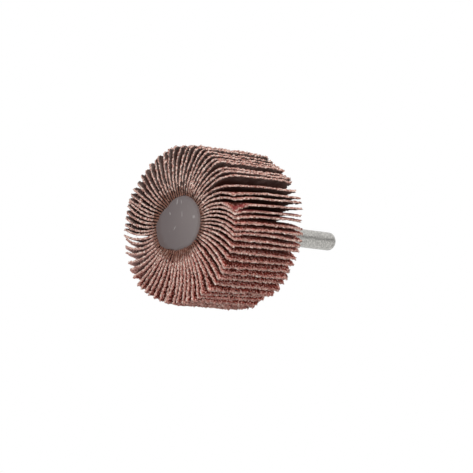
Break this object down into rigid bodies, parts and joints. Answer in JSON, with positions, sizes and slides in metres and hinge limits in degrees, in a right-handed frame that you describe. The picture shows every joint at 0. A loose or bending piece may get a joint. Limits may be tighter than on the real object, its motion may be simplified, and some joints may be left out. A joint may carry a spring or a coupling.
{
  "type": "flap wheel",
  "caption": "Shank-mounted abrasive flap wheel: a fan of swept abrasive-cloth flaps cast into a resin core on a steel spindle, for grinding and blending.",
  "frame": {"origin": "centre of the wheel's front face, on the axis, where the wheel stands", "axes": "+Z along the spindle, from the front face towards the free end of the shank"},
  "size_m": [0.05, 0.05, 0.07],
  "materials": {
    "steel": "satin, zinc-grey",
    "resin": "cast, warm grey, semi-gloss",
    "abrasive_cloth": "aluminium-oxide grain, brick brown, on dark cloth"
  },
  "bodies": {
    "root": {"spindle": "steel", "resin_core": "resin", "flap_pair_01": "abrasive_cloth", "flap_pair_02": "abrasive_cloth", "flap_pair_03": "abrasive_cloth", "flap_pair_04": "abrasive_cloth", "flap_pair_05": "abrasive_cloth", "flap_pair_06": "abrasive_cloth", "flap_pair_07": "abrasive_cloth", "flap_pair_08": "abrasive_cloth", "flap_pair_09": "abrasive_cloth", "flap_pair_10": "abrasive_cloth", "flap_pair_11": "abrasive_cloth", "flap_pair_12": "abrasive_cloth", "flap_pair_13": "abrasive_cloth", "flap_pair_14": "abrasive_cloth", "flap_pair_15": "abrasive_cloth", "flap_pair_16": "abrasive_cloth", "flap_pair_17": "abrasive_cloth", "flap_pair_18": "abrasive_cloth", "flap_pair_19": "abrasive_cloth", "flap_pair_20": "abrasive_cloth", "flap_pair_21": "abrasive_cloth", "flap_pair_22": "abrasive_cloth", "flap_pair_23": "abrasive_cloth", "flap_pair_24": "abrasive_cloth", "flap_pair_25": "abrasive_cloth", "flap_pair_26": "abrasive_cloth", "flap_pair_27": "abrasive_cloth", "flap_pair_28": "abrasive_cloth", "flap_pair_29": "abrasive_cloth", "flap_pair_30": "abrasive_cloth", "flap_pair_31": "abrasive_cloth", "flap_pair_32": "abrasive_cloth", "flap_pair_33": "abrasive_cloth", "flap_pair_34": "abrasive_cloth", "flap_pair_35": "abrasive_cloth"}
  },
  "joints": []
}
